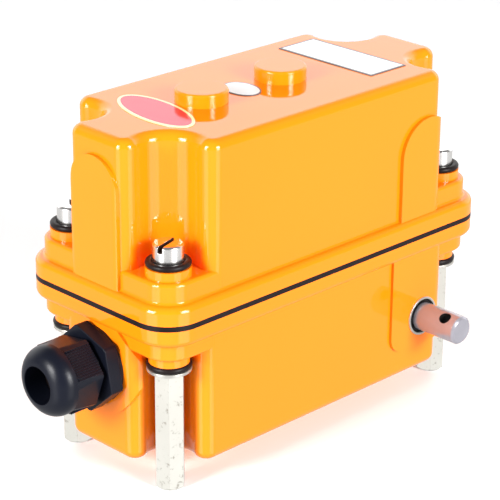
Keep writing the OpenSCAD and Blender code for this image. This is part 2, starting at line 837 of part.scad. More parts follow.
// One straight-sided tooth, from below the root circle to the tip circle
module wheel_tooth() {
  pitch_w = lead / 2 - backlash;
  slope = tan(pressure_angle);
  root_in = wheel_root_r - 0.6;
  root_w = pitch_w + 2 * (pitch_r - root_in) * slope;
  tip_w = pitch_w - 2 * gear_module * slope;
  translate([pitch_r, 0, 0]) rotate([-lead_angle, 0, 0])
    linear_extrude(wheel_w, center = true)
      polygon([[root_in - pitch_r, -root_w / 2], [gear_module, -tip_w / 2],
        [gear_module, tip_w / 2], [root_in - pitch_r, root_w / 2]]);
}

module worm_wheel() {
  web_in = 1.5;
  rim_in = 4;
  side = 0.3;
  color(BRONZE) translate([shaft_x, 0, cam_z]) along_x() difference() {
    union() {
      for (i = [0:wheel_teeth - 1]) rotate(i * 360 / wheel_teeth) wheel_tooth();
      cylinder(r = wheel_root_r, h = wheel_w, center = true);
      translate([0, 0, -wheel_w / 2 - wheel_hub_len])
        cylinder(d = wheel_hub_d, h = wheel_hub_len + 1);
    }
    for (m = [0, 1]) mirror([0, 0, m]) translate([0, 0, wheel_w / 2 - web_in])
      tube(2 * (wheel_root_r - rim_in), wheel_hub_d, web_in + side);
    translate([0, 0, -big / 2]) cylinder(d = camshaft_d + 2 * run_fit, h = big);
    translate([0, 0, -wheel_w / 2 - wheel_hub_len / 2]) along_x()
      cylinder(d = pin_d, h = big, center = true);
  }
}

module wheel_pin() {
  color(ZINC) translate([shaft_x - wheel_w / 2 - wheel_hub_len / 2, 0, cam_z])
    cylinder(d = pin_d - 2 * run_fit, h = wheel_hub_d - 0.6, center = true);
}

camshaft_x0 = frame_x0 - camshaft_tail;
camshaft_x1 = shaft_x + wheel_w / 2;
clip_x = [frame_x0 - frame_t - 2, frame_x1 + frame_t + 1];
module camshaft() {
  color(STEEL) difference() {
    translate([camshaft_x0, 0, cam_z]) along_x()
      cylinder(d = camshaft_d, h = camshaft_x1 - camshaft_x0);
    translate([shaft_x - wheel_w / 2 - wheel_hub_len / 2, 0, cam_z])
      cylinder(d = pin_d, h = 2 * camshaft_d, center = true);
    for (x = clip_x) translate([x, 0, cam_z]) along_x()
      tube(2 * camshaft_d, camshaft_d - 2 * clip_groove, circlip_t);
  }
}

module camshaft_circlips() {
  color(STEEL) for (x = clip_x) translate([x, 0, cam_z]) along_x() difference() {
    tube(camshaft_d + 4, camshaft_d - 2 * clip_groove, circlip_t);
    translate([0, -1.2, -1]) cube([camshaft_d, 2.4, circlip_t + 2]);
  }
}

// Flanged bushes in the frame's uprights, their flanges on the inner sides
module camshaft_bushes() {
  flange_t = 1;
  color(BRONZE) for (m = [0, 1])
    translate([m == 0 ? frame_x0 : frame_x1, 0, cam_z]) mirror([m, 0, 0]) along_x()
      difference() {
        union() {
          translate([0, 0, -frame_t]) cylinder(d = camshaft_bush_d, h = frame_t + flange_t);
          cylinder(d = camshaft_bush_d + 4, h = flange_t);
        }
        translate([0, 0, -big / 2]) cylinder(d = camshaft_d + 2 * run_fit, h = big);
      }
}

// Disc with one smooth lobe, and a hub that a set screw holds on the shaft
module cam(i) {
  swell = cam_r - 4;
  x = first_cam_x + i * cam_pitch;
  color(CREAM) translate([x, 0, cam_z]) along_x() difference() {
    union() {
      translate([0, 0, -cam_w / 2]) linear_extrude(cam_w) {
        circle(r = cam_r);
        rotate(180 + lobe_angles[i]) translate([cam_r + cam_rise - swell, 0])
          circle(r = swell);
      }
      cylinder(d = cam_hub_d, h = cam_w / 2 + cam_hub_len);
    }
    translate([0, 0, -big / 2]) cylinder(d = camshaft_d + 2 * run_fit, h = big);
    translate([0, 0, cam_w / 2 + cam_hub_len / 2]) rotate([0, 90, 180 + lobe_angles[i]])
      cylinder(d = pin_d, h = cam_hub_d);
  }
}
module cam_1() { cam(0); }
module cam_2() { cam(1); }
module cam_3() { cam(2); }
module cam_4() { cam(3); }

module cam_set_screws() {
  color(ZINC) for (i = [0:cam_count - 1])
    translate([first_cam_x + i * cam_pitch + cam_w / 2 + cam_hub_len / 2, 0, cam_z])
      rotate([lobe_angles[i], 0, 0])
        translate([0, 0, camshaft_d / 2 + run_fit])
          cylinder(d = pin_d - 2 * run_fit, h = cam_hub_d / 2 - camshaft_d / 2 - 0.3);
}

// Folded steel frame: a floor on four posts and two uprights that carry the camshaft
module mechanism_frame() {
  fold_r = 10;
  color(ZINC) difference() {
    union() {
      translate([frame_x0 - frame_t, -frame_w / 2, frame_z])
        cube([frame_x1 - frame_x0 + 2 * frame_t, frame_w, frame_t]);
      for (x = [frame_x0 - frame_t, frame_x1]) translate([x, 0, frame_z])
        rotate([90, 0, 90]) linear_extrude(frame_t) {
          translate([-upright_w / 2, 0]) square([upright_w, upright_top_z - frame_z - fold_r]);
          translate([-upright_w / 2 + fold_r, 0])
            square([upright_w - 2 * fold_r, upright_top_z - frame_z]);
          for (m = [-1, 1])
            translate([m * (upright_w / 2 - fold_r), upright_top_z - frame_z - fold_r])
              circle(r = fold_r);
        }
    }
    translate([0, 0, cam_z]) along_x()
      cylinder(d = camshaft_bush_d, h = big, center = true);
    for (y = [-1, 1]) translate([0, y * rod_span / 2, rod_z]) along_x()
      cylinder(d = rod_d + 2 * run_fit, h = big, center = true);
    for (x = post_x, y = [-post_y, post_y]) translate([x, y, frame_z - 1])
      cylinder(d = frame_screw_d + 2 * screw_gap, h = frame_t + 2);
  }
}

// A pan-head screw whose head rests on z = 0
module pan_screw(d, in_len) {
  pan_h = 0.6 * d;
  difference() {
    cylinder(d = 2 * d, h = pan_h);
    translate([-d, -d / 8, pan_h / 2]) cube([2 * d, d / 4, pan_h]);
  }
  translate([0, 0, -in_len]) cylinder(d = d - 2 * run_fit, h = in_len);
}

module frame_screws() {
  color(ZINC) for (x = post_x, y = [-post_y, post_y]) translate([x, y, frame_z + frame_t])
    pan_screw(frame_screw_d, frame_t + frame_screw_in - 2);
}

earth_washer_t = 1;
module earth_screw() {
  color(BRONZE) translate([earth_post[0], earth_post[1], floor_z + earth_post_h + earth_washer_t])
    pan_screw(frame_screw_d, earth_post_h);
}

module earth_washer() {
  color(BRONZE) translate([earth_post[0], earth_post[1], floor_z + earth_post_h])
    tube(post_d, frame_screw_d + 2 * screw_gap, earth_washer_t);
}

// Switch case with two ears for the lever's pin and an opening for the lever's button
module switch_body(i) {
  button_y = lever_reach - button_reach - button_h / 2 * sin(lever_slope);
  ear_t = (switch_w - lever_w) / 2 - lever_room;
  ear_z = lever_pin_z - lever_barrel_d / 2;
  color(CASE) translate([first_cam_x + i * cam_pitch, 0, 0]) difference() {
    union() {
      translate([-switch_w / 2, -switch_l / 2, switch_z])
        cube([switch_w, switch_l, switch_h]);
      for (m = [0, 1]) mirror([m, 0, 0])
        translate([switch_w / 2 - ear_t, lever_reach - lever_barrel_d / 2, ear_z])
          cube([ear_t, lever_barrel_d, switch_z - ear_z + 1]);
    }
    translate([0, lever_reach, lever_pin_z]) along_x()
      cylinder(d = lever_pin_d, h = big, center = true);
    translate([0, button_y, switch_z - 1])
      cylinder(d = button_d + 2 * button_room, h = button_h + 1);
    for (y = [-1, 1]) translate([0, y * rod_span / 2, rod_z]) along_x()
      cylinder(d = rod_d + 2 * run_fit, h = big, center = true);
  }
}
module switch_body_1() { switch_body(0); }
module switch_body_2() { switch_body(1); }
module switch_body_3() { switch_body(2); }
module switch_body_4() { switch_body(3); }

// One child on the sloping lever of a switch, with the lever's pin as its origin
module on_lever(i) {
  translate([first_cam_x + i * cam_pitch, lever_reach, lever_pin_z])
    rotate([lever_slope, 0, 0]) children();
}

// Spring-steel lever with a rolled eye, which hangs down over the cam
module switch_lever(i) {
  color(STEEL) on_lever(i) difference() {
    union() {
      along_x() cylinder(d = lever_barrel_d, h = lever_w, center = true);
      translate([-lever_w / 2, -lever_len, -lever_t / 2]) cube([lever_w, lever_len, lever_t]);
    }
    along_x() cylinder(d = lever_pin_d + 2 * run_fit, h = big, center = true);
    translate([0, -button_reach, -lever_t])
      cylinder(d = rivet_d + 2 * run_fit, h = 2 * lever_t);
  }
}
module switch_lever_1() { switch_lever(0); }
module switch_lever_2() { switch_lever(1); }
module switch_lever_3() { switch_lever(2); }
module switch_lever_4() { switch_lever(3); }

// Button riveted through the lever, which reaches up into the case to work the contacts
module lever_button(i) {
  rivet_head = [1.1, 0.4];
  top_edge = 0.5;
  r = button_d / 2;
  low = lever_t / 2;
  high = low + button_h;
  color(CREAM) on_lever(i) translate([0, -button_reach, 0]) rotate_extrude()
    polygon([[0, -low - rivet_head[1]], [rivet_head[0], -low - rivet_head[1]],
      [rivet_head[0], -low], [rivet_d / 2, -low], [rivet_d / 2, low], [r, low],
      [r, high - top_edge], [r - top_edge, high], [0, high]]);
}
module lever_button_1() { lever_button(0); }
module lever_button_2() { lever_button(1); }
module lever_button_3() { lever_button(2); }
module lever_button_4() { lever_button(3); }

module lever_pins() {
  color(STEEL) for (i = [0:cam_count - 1])
    translate([first_cam_x + i * cam_pitch, lever_reach, lever_pin_z]) along_x()
      cylinder(d = lever_pin_d, h = switch_w, center = true);
}

module switch_terminals() {
  blade = [5, 0.8, terminal_h];
  color(BRONZE) for (i = [0:cam_count - 1], y = [-9, 0, 9])
    translate([first_cam_x + i * cam_pitch - blade[0] / 2, y - blade[1] / 2, switch_z + switch_h])
      cube(blade);
}

rod_nut_t = 2.4;
module switch_rods() {
  rod_end = rod_nut_t + 1.6;
  color(ZINC) for (y = [-1, 1])
    translate([frame_x0 - frame_t - rod_end, y * rod_span / 2, rod_z]) along_x()
      cylinder(d = rod_d, h = frame_x1 - frame_x0 + 2 * (frame_t + rod_end));
}

module rod_nuts() {
  color(ZINC) for (y = [-1, 1], x = [frame_x0 - frame_t - rod_nut_t, frame_x1 + frame_t])
    translate([x, y * rod_span / 2, rod_z]) along_x() difference() {
      hexagon(1.8 * rod_d, rod_nut_t);
      translate([0, 0, -1]) cylinder(d = rod_d + 2 * run_fit, h = rod_nut_t + 2);
    }
}

// Tubes on the rods, between the switches and out to the uprights
module switch_spacers() {
  stops = concat([frame_x0],
    [for (i = [0:cam_count - 1], m = [-1, 1]) first_cam_x + i * cam_pitch + m * switch_w / 2],
    [frame_x1]);
  color(ZINC) for (k = [0:cam_count], y = [-1, 1])
    translate([stops[2 * k], y * rod_span / 2, rod_z]) along_x()
      tube(rod_d + 2.4, rod_d + 2 * run_fit, stops[2 * k + 1] - stops[2 * k]);
}

base_housing();
cover();
cover_gasket();
cover_screws();
screw_o_rings();
pillar_o_rings();
pillar_washers();
hex_pillars();
gland_body();
gland_washer();
gland_locknut();
gland_seal();
gland_dome_nut();
input_shaft();
seal_case();
seal_lip();
front_bush();
rear_bush();
shaft_circlip();
worm();
worm_pin();
worm_wheel();
wheel_pin();
camshaft();
camshaft_bushes();
camshaft_circlips();
cam_1();
cam_2();
cam_3();
cam_4();
cam_set_screws();
mechanism_frame();
frame_screws();
switch_body_1();
switch_body_2();
switch_body_3();
switch_body_4();
switch_lever_1();
switch_lever_2();
switch_lever_3();
switch_lever_4();
lever_button_1();
lever_button_2();
lever_button_3();
lever_button_4();
lever_pins();
switch_terminals();
switch_rods();
rod_nuts();
switch_spacers();
earth_screw();
earth_washer();
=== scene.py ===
"""Geared rotary limit switch in an enamelled cast box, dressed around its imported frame."""

import json
import math

import bmesh
import bpy
from mathutils import Matrix, Quaternion, Vector


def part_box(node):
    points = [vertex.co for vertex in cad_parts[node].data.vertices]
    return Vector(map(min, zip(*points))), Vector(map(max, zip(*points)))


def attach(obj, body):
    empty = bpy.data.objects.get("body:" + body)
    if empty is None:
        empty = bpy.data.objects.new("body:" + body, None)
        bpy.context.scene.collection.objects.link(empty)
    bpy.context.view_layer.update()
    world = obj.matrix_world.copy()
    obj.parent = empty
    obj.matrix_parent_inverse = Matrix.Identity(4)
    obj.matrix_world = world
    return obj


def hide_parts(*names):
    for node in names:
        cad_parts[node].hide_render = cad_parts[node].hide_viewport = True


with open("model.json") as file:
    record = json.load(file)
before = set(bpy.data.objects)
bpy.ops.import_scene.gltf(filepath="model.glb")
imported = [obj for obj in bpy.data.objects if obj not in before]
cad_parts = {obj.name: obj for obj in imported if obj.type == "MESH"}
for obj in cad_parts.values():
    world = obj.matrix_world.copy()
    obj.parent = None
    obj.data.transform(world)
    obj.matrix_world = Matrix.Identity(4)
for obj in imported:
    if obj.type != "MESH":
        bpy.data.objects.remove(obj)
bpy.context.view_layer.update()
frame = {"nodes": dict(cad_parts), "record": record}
nodes = frame["nodes"]
MM = 0.001

# Camera: a long lens a little above the cover, turned to the corner between the gland end and
# the shaft side, as the photograph was taken.
CAMERA_TURN, CAMERA_RISE, CAMERA_ROLL = (math.radians(d) for d in (-45.07, 22.28, 0.514))
CAMERA_AWAY = 0.699
CAMERA_AIM = Vector((0, 0, 0.0584))
camera = bpy.data.objects.new("camera", bpy.data.cameras.new("camera"))
camera.data.sensor_width = 36
camera.data.lens = 147.4
camera.data.shift_x, camera.data.shift_y = -0.0234, -0.0072
camera.data.clip_start, camera.data.clip_end = 0.05, 20
flat_back = Vector((math.sin(CAMERA_TURN), -math.cos(CAMERA_TURN), 0))
camera_back = flat_back * math.cos(CAMERA_RISE) + Vector((0, 0, math.sin(CAMERA_RISE)))
camera.location = CAMERA_AIM + CAMERA_AWAY * camera_back
camera.rotation_mode = "QUATERNION"
camera.rotation_quaternion = (-camera_back).to_track_quat("-Z", "Y") @ Quaternion(
    (0, 0, 1), CAMERA_ROLL
)
bpy.context.scene.collection.objects.link(camera)
bpy.context.scene.camera = camera

# Studio: a glossy white table with a lit backdrop behind it and a dim room before it. A tall
# softbox with a hot lamp stands on either side of the camera, square to a wall of the box, and the
# table mirrors both. The object sees table and room as one sky; the floor is only looked at.
ROOM, TABLE, BACKDROP = 0.2, 0.8, 1.95
TABLE_GLARE = 1.7
GLARE_HALF, GLARE_EDGE = math.radians(13), math.radians(7)
GLARE_NEAR, GLARE_FAR = (0.08, 0.2), (0.6, 0.75)
HORIZON, BACKDROP_SIDES, BACKDROP_TOP = (-0.03, 0.01), (0.1, 0.6), (0.5, 0.75)
SOFTBOX_TURN = math.radians(48)
STRIP = {"away": 1.15, "rise": 0.40, "size": (0.50, 0.78), "power": 14.0}
LAMP = {"away": 1.05, "rise": 0.46, "size": (0.30, 0.26), "power": 8.5}


class Signal:
    """A shader socket under Python's arithmetic: each operator adds a Math node."""

    def __init__(self, nodes, socket):
        self.nodes, self.socket = nodes, socket

    def math(self, operation, first, second=0.0):
        """One Math node; the operators below all come here."""
        return self.nodes.add("ShaderNodeMath", {"operation": operation}, {0: first, 1: second})

    def __add__(self, other):
        return self.math("ADD", self, other)

    def __sub__(self, other):
        return self.math("SUBTRACT", self, other)

    def __rsub__(self, other):
        return self.math("SUBTRACT", other, self)

    def __mul__(self, other):
        return self.math("MULTIPLY", self, other)

    def __abs__(self):
        return self.math("ABSOLUTE", self)

    __radd__, __rmul__ = __add__, __mul__


class Nodes:
    """A node tree in the making."""

    def __init__(self, tree):
        self.tree = tree

    def add(self, kind, settings=None, sockets=None, out=0):
        """One node: its settings, the values or links of its sockets, and the output to use."""
        node = self.tree.nodes.new(kind)
        for key, value in (settings or {}).items():
            setattr(node, key, value)
        for key, value in (sockets or {}).items():
            self.feed(node.inputs[key], value)
        return Signal(self, node.outputs[out])

    def feed(self, socket, value):
        """Links a signal to a socket, or sets its value."""
        if isinstance(value, Signal):
            self.tree.links.new(value.socket, socket)
        elif isinstance(value, tuple) and len(value) == 3 and socket.type == "RGBA":
            socket.default_value = (*value, 1)
        else:
            socket.default_value = value

    def ramp(self, signal, low, high):
        """0 where the signal is below low, 1 above high, and smooth between."""
        ends = {"Value": signal, "From Min": low, "From Max": high}
        return self.add("ShaderNodeMapRange", {"interpolation_type": "SMOOTHSTEP"}, ends)

    def along(self, vector, axis):
        """How far a vector reaches along an axis."""
        dot = {"operation": "DOT_PRODUCT"}
        return self.add("ShaderNodeVectorMath", dot, {0: vector, 1: tuple(axis)}, out="Value")


class Finish(Nodes):
    """A material in the making, on Object coordinates in metres."""

    def __init__(self, name):
        self.material = bpy.data.materials.new(name)
        self.material.use_nodes = True
        super().__init__(self.material.node_tree)
        self.shader = self.tree.nodes["Principled BSDF"]
        self.place = self.add("ShaderNodeTexCoord", out="Object")

    def noise(self, per_metre, detail=2, roughness=0.5, stretch=(1, 1, 1)):
        """Grey noise of a given fineness, stretched along an axis if asked."""
        place = self.add("ShaderNodeMapping", None, {"Vector": self.place, "Scale": stretch})
        return self.add(
            "ShaderNodeTexNoise",
            None,
            {"Vector": place, "Scale": per_metre, "Detail": detail, "Roughness": roughness},
        )

    def mix(self, factor, first, second):
        """Two colours mixed by a factor."""
        node = {"data_type": "RGBA"}
        return self.add("ShaderNodeMix", node, {0: factor, 6: first, 7: second}, out=2)

    def bump(self, height, depth_mm, strength=1.0):
        """A normal from a height that stands for so many millimetres."""
        sockets = {"Height": height, "Distance": depth_mm * MM, "Strength": strength}
        return self.add("ShaderNodeBump", None, sockets, out="Normal")

    def shade(self, **sockets):
        """Sets or links the shader's sockets; spaces in their names are underscores here."""
        for key, value in sockets.items():
            self.feed(self.shader.inputs[key.replace("_", " ")], value)
        return self.material


def paint_sky():
    """The room's light by direction: backdrop, dim room, white table and the glare on it."""
    world = bpy.data.worlds.new("sky")
    world.use_nodes = True
    sky = Nodes(world.node_tree)
    toward = sky.add("ShaderNodeTexCoord", out="Generated")
    up = sky.along(toward, (0, 0, 1))
    front = sky.along(toward, flat_back)
    aside = abs(sky.along(toward, (flat_back.y, -flat_back.x, 0)))
    turn = aside.math("ARCTAN2", aside, front)
    below = 1 - sky.ramp(up, *HORIZON)
    behind = sky.ramp(0 - front, *BACKDROP_SIDES)
    backdrop = behind * (1 - sky.ramp(up, *BACKDROP_TOP)) * (1 - below)
    off_softbox = abs(turn - SOFTBOX_TURN)
    glare = 1 - sky.ramp(off_softbox, GLARE_HALF, GLARE_HALF + GLARE_EDGE)
    glare = glare * sky.ramp(0 - up, *GLARE_NEAR) * (1 - sky.ramp(0 - up, *GLARE_FAR))
    strength = (
        backdrop * (BACKDROP - ROOM) + below * (TABLE - ROOM) + glare * TABLE_GLARE + ROOM
    )
    background = world.node_tree.nodes["Background"]
    background.inputs["Color"].default_value = (1, 1, 1, 1)
    sky.feed(background.inputs["Strength"], strength)
    bpy.context.scene.world = world


def add_softbox(name, turn, away, rise, size, power):
    """A rectangular area light at a turn from the camera, facing the object."""
    light = bpy.data.lights.new(name, "AREA")
    light.shape = "RECTANGLE"
    light.size, light.size_y = size
    light.energy = power
    lamp = bpy.data.objects.new(name, light)
    lamp.location = Matrix.Rotation(turn, 3, "Z") @ flat_back * away + Vector((0, 0, rise))
    lamp.rotation_mode = "QUATERNION"
    lamp.rotation_quaternion = (CAMERA_AIM - lamp.location).to_track_quat("-Z", "Y")
    bpy.context.scene.collection.objects.link(lamp)


paint_sky()
for side, turn in (("left", -SOFTBOX_TURN), ("right", SOFTBOX_TURN)):
    add_softbox(f"{side}_strip", turn, **STRIP)
    add_softbox(f"{side}_lamp", turn, **LAMP)
bpy.context.scene.view_settings.view_transform = "Standard"


def paint_floor():
    """White board with a glow of its own, so that it stays white beside the object."""
    floor = Finish("studio_floor")
    mottle = floor.noise(9, detail=3)
    return floor.shade(
        Base_Color=floor.mix(mottle, (0.86, 0.86, 0.86), (0.90, 0.90, 0.90)),
        Roughness=mottle * 0.1 + 0.45,
        Emission_Color=(1.0, 1.0, 1.0),
        Emission_Strength=0.1,
    )


FLOOR_HALF = 3
floor_mesh = bpy.data.meshes.new("floor")
shape = bmesh.new()
bmesh.ops.create_grid(shape, x_segments=1, y_segments=1, size=FLOOR_HALF)
shape.to_mesh(floor_mesh)
shape.free()
floor_mesh.materials.append(paint_floor())
floor = bpy.data.objects.new("floor", floor_mesh)
floor.visible_diffuse = floor.visible_glossy = floor.visible_shadow = False
bpy.context.scene.collection.objects.link(floor)


# Base: a deep box cast in light alloy, scalloped at its corners, under thick gloss enamel that
# rounds every edge and runs into every corner.
ENAMEL = (0.95, 0.220, 0.004)
ENAMEL_DEEP = (0.94, 0.204, 0.003)
CAST_EDGE_MM, CAST_CORNER_MM = 0.8, 0.5


def paint_enamel():
    """Gloss enamel: a deep orange under a clear coat with a faint orange peel."""
    enamel = Finish("orange_enamel")
    cloud = enamel.noise(14, detail=3)
    peel = enamel.noise(420, detail=2)
    speck = enamel.ramp(enamel.noise(1500, detail=1), 0.74, 0.8)
    return enamel.shade(
        Base_Color=enamel.mix(cloud, ENAMEL, ENAMEL_DEEP),
        Roughness=speck * 0.1 + 0.5,
        Specular_IOR_Level=0.0,
        Coat_Weight=1.0,
        Coat_Roughness=0.03,
        Coat_IOR=1.46,
        Normal=enamel.bump(peel, 0.01, 0.15),
    )


def merged_copy(name):
    """A CAD node's mesh again as a bmesh, with its loose triangles joined."""
    shape = bmesh.new()
    shape.from_mesh(nodes[name].data)
    bmesh.ops.remove_doubles(shape, verts=shape.verts, dist=1e-6)
    return shape


def make_piece(name, shape, material, body, stands_for=()):
    """A finished piece from a bmesh, riding on a body, in place of CAD nodes where named."""
    mesh = bpy.data.meshes.new(name)
    shape.to_mesh(mesh)
    shape.free()
    mesh.materials.append(material)
    piece = bpy.data.objects.new(name, mesh)
    bpy.context.scene.collection.objects.link(piece)
    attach(piece, body)
    if stands_for:
        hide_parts(*stands_for)
    return piece


EASED_ANGLE, FLAT_ANGLE = math.radians(28), math.radians(0.5)
ROUND_STEPS = 3


def ease_edges(name, material, body, edge_mm, corner_mm=None):
    """A CAD node again, with its sharp edges, and its inner corners if asked, run round."""
    shape = merged_copy(name)
    bmesh.ops.dissolve_limit(
        shape, angle_limit=FLAT_ANGLE, verts=shape.verts, edges=shape.edges
    )
    weight = shape.edges.layers.float.new("bevel_weight_edge")
    for edge in shape.edges:
        if edge.is_manifold and edge.calc_face_angle() > EASED_ANGLE:
            hollow = edge.calc_face_angle_signed() < 0
            edge[weight] = (corner_mm or edge_mm) / edge_mm if hollow else 1.0
    for face in shape.faces:
        face.smooth = True
    piece = make_piece(f"{name}_eased", shape, material, body, (name,))
    rounding = piece.modifiers.new("rounding", "BEVEL")
    rounding.limit_method, rounding.width = "WEIGHT", edge_mm * MM
    rounding.segments = ROUND_STEPS
    flats = piece.modifiers.new("flats", "WEIGHTED_NORMAL")
    flats.keep_sharp = False
    return piece


def enamel_casting(name):
    """A CAD casting again, with its edges run round by the enamel."""
    ease_edges(name, orange_enamel, "housing", CAST_EDGE_MM, CAST_CORNER_MM)


orange_enamel = paint_enamel()
enamel_casting("base_housing")


# Pillars: four hexagonal bars of zinc plated steel, turned at both ends and tapped, under a plain
# washer each. The plating is pale and cloudy, with small scuffs from handling.
def dress(material, *names):
    """Gives CAD nodes a material in place of their own."""
    for name in names:
        mesh = nodes[name].data
        mesh.materials.clear()
        mesh.materials.append(material)


def paint_zinc():
    """Pale zinc plating with cloudy patches and fine scuffs."""
    zinc = Finish("zinc_plate")
    cloud = zinc.noise(60, detail=4)
    scuff = zinc.ramp(zinc.noise(520, detail=5, roughness=0.7), 0.56, 0.68)
    clean = zinc.mix(cloud, (0.41, 0.40, 0.365), (0.53, 0.52, 0.475))
    drawn = zinc.noise(900, detail=2, stretch=(1, 1, 0.04))
    return zinc.shade(
        Base_Color=zinc.mix(scuff, clean, (0.29, 0.275, 0.24)),
        Metallic=0.7,
        Roughness=cloud * 0.16 + scuff * 0.2 + 0.24,
        Normal=zinc.bump(drawn + scuff * 0.6, 0.02, 0.5),
    )


zinc_plate = paint_zinc()
ease_edges("hex_pillars", zinc_plate, "housing", 0.25)
ease_edges("pillar_washers", zinc_plate, "housing", 0.15)


# Pillar O-rings: moulded black rubber, one between each pillar's washer and the base above it,
# squeezed flat where they meet. The rubber is dull and a little brown.
def paint_rubber():
    """Black rubber with a dusty bloom."""
    rubber = Finish("black_rubber")
    bloom = rubber.noise(300, detail=4)
    grain = rubber.noise(2600, detail=2)
    return rubber.shade(
        Base_Color=rubber.mix(bloom, (0.006, 0.004, 0.004), (0.014, 0.010, 0.010)),
        Roughness=bloom * 0.2 + 0.3,
        Specular_IOR_Level=0.14,
        Normal=rubber.bump(grain, 0.03, 0.3),
    )


black_rubber = paint_rubber()
dress(black_rubber, "pillar_o_rings")


# Cable gland: moulded black nylon, a hexagonal body against a rubber washer and a dome nut with
# gripping ribs on every second flat, over the rubber seal that holds the cable.
def paint_nylon():
    """Black nylon with a fine moulded grain."""
    nylon = Finish("black_nylon")
    grain = nylon.noise(1800, detail=3)
    cloud = nylon.noise(90, detail=2)
    return nylon.shade(
        Base_Color=nylon.mix(cloud, (0.003, 0.004, 0.008), (0.006, 0.007, 0.013)),
        Roughness=grain * 0.1 + 0.26,
        Specular_IOR_Level=0.17,
        Normal=nylon.bump(grain, 0.01, 0.2),
    )


black_nylon = paint_nylon()
ease_edges("gland_body", black_nylon, "housing", 0.3)
ease_edges("gland_dome_nut", black_nylon, "gland_nut", 0.35)
dress(black_nylon, "gland_locknut")
dress(black_rubber, "gland_washer", "gland_seal")
NUT_FLAT = 10.9 * MM
RIB_LENGTH, RIB_WIDTH, RIB_DEPTH, RIB_BREAK = 9.6 * MM, 0.5 * MM, 0.7 * MM, 0.15 * MM
RIB_PITCH, RIB_COUNT = 0.85 * MM, 13
RIBBED_FLATS = [math.radians(d) for d in (70, 190, 310)]
nut_low, nut_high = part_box("gland_dome_nut")
nut_axis = (nut_low + nut_high) / 2


def rib_nut_flats():
    """Fine gripping ribs along every second flat of the dome nut, half sunk in it."""
    ribs = bmesh.new()
    for flat in RIBBED_FLATS:
        for k in range(RIB_COUNT):
            across = (k - (RIB_COUNT - 1) / 2) * RIB_PITCH
            rib = bmesh.ops.create_cube(ribs, size=1)["verts"]
            bmesh.ops.scale(ribs, verts=rib, vec=(RIB_LENGTH, RIB_WIDTH, RIB_DEPTH))
            bmesh.ops.translate(ribs, verts=rib, vec=(0, across, NUT_FLAT))
            bmesh.ops.rotate(ribs, verts=rib, matrix=Matrix.Rotation(-flat, 3, "X"))
    bmesh.ops.bevel(
        ribs,
        geom=ribs.edges[:],
        offset=RIB_BREAK,
        affect="EDGES",
        segments=1,
        profile=0.5,
        material=-1,
    )
    rib_x = nut_high.x - RIB_LENGTH / 2
    bmesh.ops.translate(ribs, verts=ribs.verts, vec=(rib_x, nut_axis.y, nut_axis.z))
    make_piece("gland_nut_ribs", ribs, black_nylon, "gland_nut")


rib_nut_flats()


# Drive shaft: turned steel with a cross hole for its coupling's pin, in a pressed steel seal case.
# The shaft is bright and a little brown with oil.
HOLE_RIM = 0.2 * MM
hole = next(m for m in frame["record"]["mounts"] if m["name"] == "cross_pin")


def paint_shaft_steel():
    """Turned steel with fine rings, faintly tarnished, and painted shade darkening the cross hole.
    """
    steel = Finish("shaft_steel")
    haze = steel.noise(120, detail=3)
    rings = steel.noise(1500, detail=3, roughness=0.7, stretch=(0.05, 1, 0.05))
    # Painted shade: near the cross hole's axis the steel is painted near black and not metallic,
    # standing for the shade inside the hole.
    centre = {"operation": "SUBTRACT"}
    reach = steel.add("ShaderNodeVectorMath", centre, {0: steel.place, 1: tuple(hole["pos_m"])})
    across = {"operation": "CROSS_PRODUCT"}
    reach = steel.add("ShaderNodeVectorMath", across, {0: reach, 1: tuple(hole["axis"])})
    reach = steel.add("ShaderNodeVectorMath", {"operation": "LENGTH"}, {0: reach}, out="Value")
    hole_r = hole["dims"]["r_mm"] * MM
    outside = steel.ramp(reach, hole_r, hole_r + HOLE_RIM)
    bare = steel.mix(haze, (0.30, 0.29, 0.33), (0.40, 0.39, 0.43))
    return steel.shade(
        Base_Color=steel.mix(outside, (0.012, 0.011, 0.010), bare),
        Metallic=outside * 0.5,
        Roughness=haze * 0.1 + 0.2,
        Normal=steel.bump(rings, 0.012, 0.4),
    )


def paint_bright_steel():
    """Turned steel under bright nickel, with fine tool marks."""
    steel = Finish("bright_steel")
    haze = steel.noise(120, detail=3)
    marks = steel.noise(2200, detail=3, roughness=0.7)
    return steel.shade(
        Base_Color=steel.mix(haze, (0.74, 0.72, 0.70), (0.86, 0.85, 0.83)),
        Metallic=1.0,
        Roughness=haze * 0.1 + 0.2,
        Normal=steel.bump(marks, 0.01, 0.2),
    )


shaft_steel = paint_shaft_steel()
bright_steel = paint_bright_steel()
ease_edges("input_shaft", shaft_steel, "drive_shaft", 0.3)
ease_edges("seal_case", zinc_plate, "housing", 0.2)
dress(black_rubber, "seal_lip")


# Gears: the worm is cut steel on the drive shaft, and the wheel and the bushes are sintered bronze.
# A bent steel frame carries the camshaft, held down by screws.
def paint_bronze():
    """Bronze with a slight tarnish."""
    bronze = Finish("bronze")
    tarnish = bronze.noise(200, detail=4)
    return bronze.shade(
        Base_Color=bronze.mix(tarnish, (0.60, 0.40, 0.17), (0.44, 0.27, 0.11)),
        Metallic=1.0,
        Roughness=tarnish * 0.25 + 0.25,
    )


bronze = paint_bronze()
dress(bronze, "front_bush", "rear_bush", "worm_wheel", "camshaft_bushes")
dress(bright_steel, "worm", "shaft_circlip", "camshaft", "camshaft_circlips")
dress(zinc_plate, "worm_pin", "wheel_pin", "mechanism_frame", "frame_screws")


# Cams and switches: cream acetal cams on the camshaft lift the spring steel levers of four black
# cased switches, which hang on two rods. An earth screw stands on the floor of the box.
def paint_acetal():
    """Cream acetal with a waxy gloss."""
    acetal = Finish("cream_acetal")
    cloud = acetal.noise(150, detail=3)
    return acetal.shade(
        Base_Color=acetal.mix(cloud, (0.78, 0.74, 0.64), (0.84, 0.81, 0.72)),
        Roughness=cloud * 0.15 + 0.35,
    )


